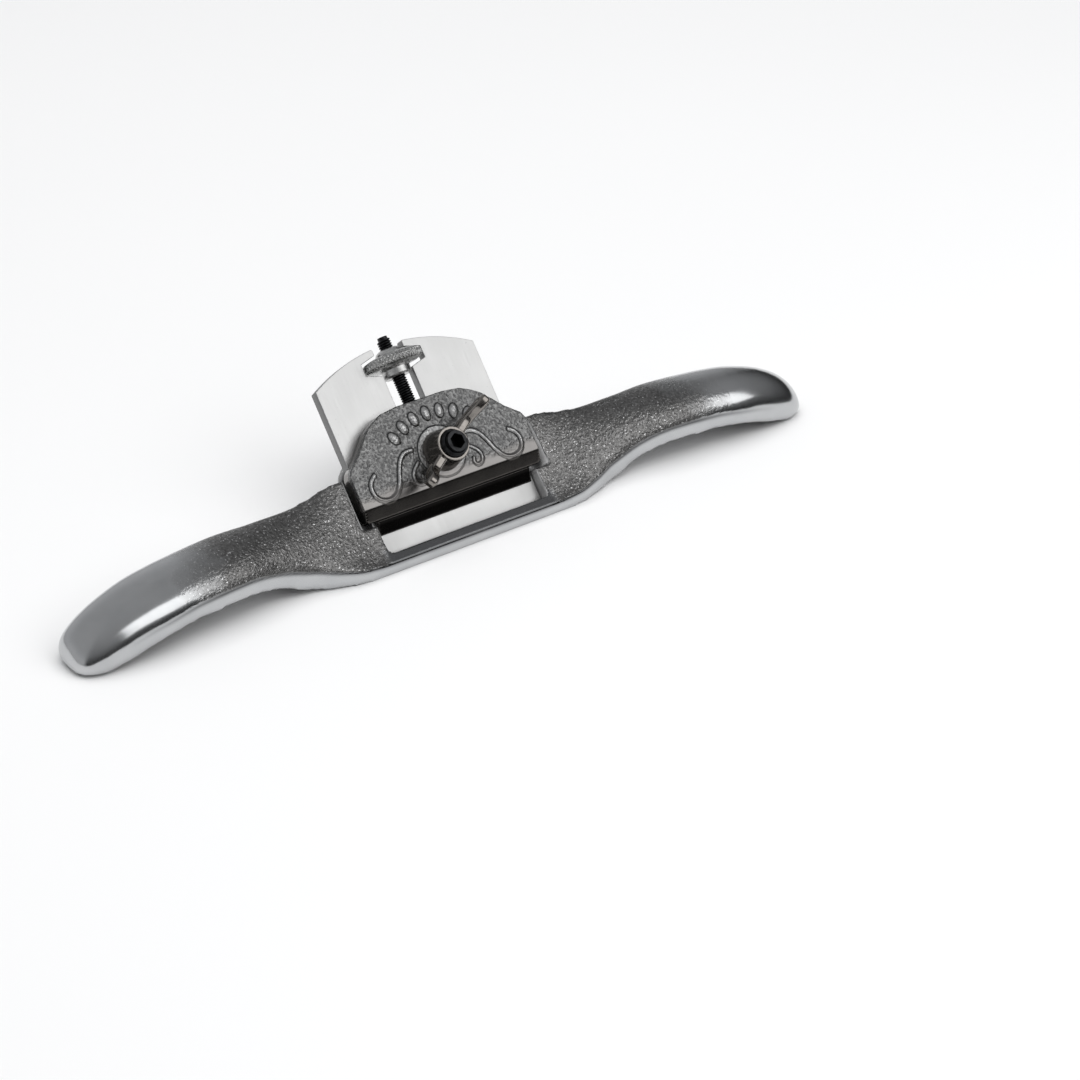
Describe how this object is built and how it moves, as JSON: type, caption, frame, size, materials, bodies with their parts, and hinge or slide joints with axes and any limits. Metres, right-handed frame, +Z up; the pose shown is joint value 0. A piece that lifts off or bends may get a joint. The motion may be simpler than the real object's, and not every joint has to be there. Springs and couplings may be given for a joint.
{
  "type": "spokeshave",
  "caption": "Flat-soled metal spokeshave with gull-wing shell handles, a clamped cutter, lever cap with wing nut, and a knurled depth adjuster.",
  "frame": {"origin": "centre of the bounding box seen from above, in the plane of the ground sole", "axes": "+X along the handles, the tool cuts towards -Y, +Z up away from the work"},
  "size_m": [0.2504, 0.049, 0.0444],
  "materials": {
    "casting": "cast skin on top, polished grips and front, ground sole",
    "cutter_steel": "surface ground",
    "cap_metal": "cast ornament with a polished front bevel",
    "black_oxide": "black oxide",
    "nut_steel": "polished",
    "knurled_steel": "knurled rim"
  },
  "bodies": {
    "frame": {"body": "casting", "clamp_stud": "black_oxide", "adjuster_stud": "black_oxide"},
    "cutter": {"cutter": "cutter_steel"},
    "adjuster_nut": {"adjuster_nut": "knurled_steel"},
    "lever_cap": {"lever_cap": "cap_metal"},
    "wing_nut": {"wing_nut": "nut_steel"}
  },
  "joints": [
    {"name": "cutter_slide", "type": "slide", "parent": "frame", "child": "cutter", "axis": [0, 0.7071, 0.7071], "range_m": [-0.0005, 0.003]},
    {"name": "adjuster_spin", "type": "hinge", "parent": "cutter", "child": "adjuster_nut", "pos_m": [0, 0.01754, 0.0374], "axis": [0, 0.7071, 0.7071], "range_deg": [-258, 1544]},
    {"name": "cap_lift", "type": "slide", "parent": "frame", "child": "lever_cap", "axis": [0, -0.7071, 0.7071], "range_m": [0, 0.002]},
    {"name": "wing_nut_spin", "type": "hinge", "parent": "lever_cap", "child": "wing_nut", "pos_m": [0, -0.00353, 0.01747], "axis": [0, -0.7071, 0.7071], "range_deg": [0, 577]}
  ],
  "couplings": [
    {"joint": "adjuster_spin", "follows": "cutter_slide", "rad_per_m": 8976},
    {"joint": "wing_nut_spin", "follows": "cap_lift", "rad_per_m": 5026.5}
  ]
}
